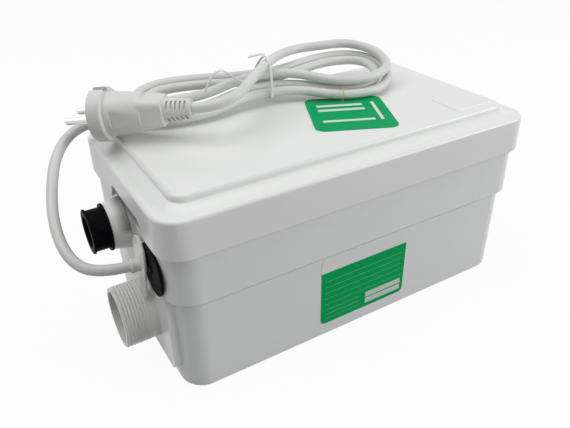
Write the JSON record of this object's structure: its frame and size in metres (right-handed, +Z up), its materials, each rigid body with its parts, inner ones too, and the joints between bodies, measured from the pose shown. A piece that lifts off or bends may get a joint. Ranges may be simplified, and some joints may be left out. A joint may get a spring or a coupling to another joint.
{
  "type": "sewage lifting pump",
  "caption": "Compact box lifting pump with a threaded side inlet, a sleeved outlet, a lidded tank, a vertical motor pump inside and a tied mains cord with its plug.",
  "frame": {"origin": "centre of the tank's flat underside", "axes": "+X from the pipe end to the plain end, +Y from the label side to the back, +Z up"},
  "size_m": [0.3409, 0.163, 0.1817],
  "materials": {
    "tank_plastic": "satin",
    "lid_plastic": "satin",
    "fitting_plastic": "satin",
    "black_rubber": "matt",
    "grey_rubber": "matt",
    "cord_sheath": "matt",
    "plug_plastic": "satin",
    "nickel": "bright",
    "label_film": "satin",
    "tag_card": "satin",
    "string": "matt",
    "tie": "satin",
    "pump_plastic": "moulded",
    "impeller_plastic": "moulded",
    "steel": "turned",
    "laminations": "stacked",
    "copper": "enamelled",
    "aluminium": "cast",
    "spring_steel": "drawn",
    "switch_plastic": "moulded",
    "box_plastic": "moulded",
    "capacitor_can": "drawn",
    "filter_carbon": "porous"
  },
  "bodies": {
    "housing": {"tank": "tank_plastic", "lid": "lid_plastic", "lid_seal": "grey_rubber", "inlet_pipe": "fitting_plastic", "inlet_flap_pin": "steel", "outlet_spigot": "fitting_plastic", "outlet_collar": "fitting_plastic", "outlet_sleeve": "black_rubber", "valve_body": "pump_plastic", "valve_pin": "steel", "discharge_hose": "black_rubber", "hose_clamps": "steel", "gland_plate": "fitting_plastic", "cable_grommet": "cord_sheath", "blanking_plug": "black_rubber", "volute": "pump_plastic", "vibration_mounts": "grey_rubber", "suction_strainer": "pump_plastic", "shaft_seal": "black_rubber", "base_plate": "aluminium", "lower_bearing": "steel", "upper_bearing": "steel", "motor_can": "aluminium", "motor_cap": "aluminium", "motor_screws": "steel", "stator_core": "laminations", "stator_windings": "copper", "level_bell": "pump_plastic", "diaphragm": "black_rubber", "switch_cover": "pump_plastic", "microswitch": "switch_plastic", "control_box": "box_plastic", "control_cover": "box_plastic", "capacitor": "capacitor_can", "terminal_block": "switch_plastic", "inner_lead": "cord_sheath", "motor_lead": "switch_plastic", "vent_filter": "filter_carbon", "rating_label": "label_film", "hang_tag": "tag_card", "tag_string": "string", "twist_tie": "tie", "cord_tail": "cord_sheath", "cord_hank": "cord_sheath", "cord_lead": "cord_sheath", "plug_body": "plug_plastic", "plug_boot": "plug_plastic", "plug_pins": "nickel", "plug_earth_clips": "nickel"},
    "rotor": {"motor_shaft": "steel", "rotor_core": "laminations", "impeller": "impeller_plastic", "impeller_nut": "steel"},
    "inlet_flap": {"inlet_flap": "black_rubber"},
    "valve_flap": {"valve_flap": "black_rubber"},
    "plunger": {"switch_plunger": "switch_plastic", "switch_spring": "spring_steel"}
  },
  "joints": [
    {"name": "rotor_spin", "type": "hinge", "parent": "housing", "child": "rotor", "pos_m": [0.04, 0.01, 0.06], "axis": [0, 0, 1], "continuous": true},
    {"name": "inlet_flap_swing", "type": "hinge", "parent": "housing", "child": "inlet_flap", "pos_m": [-0.1258, -0.024, 0.0675], "axis": [0, -1, 0], "range_deg": [0, 65]},
    {"name": "valve_flap_swing", "type": "hinge", "parent": "housing", "child": "valve_flap", "pos_m": [-0.1116, 0.0075, 0.1072], "axis": [0, 1, 0], "range_deg": [0, 50]},
    {"name": "plunger_slide", "type": "slide", "parent": "housing", "child": "plunger", "axis": [0, 0, 1], "range_m": [0, 0.0025], "stiffness_N_per_m": 400, "springref_m": -0.001, "deforming": ["switch_spring"]}
  ]
}
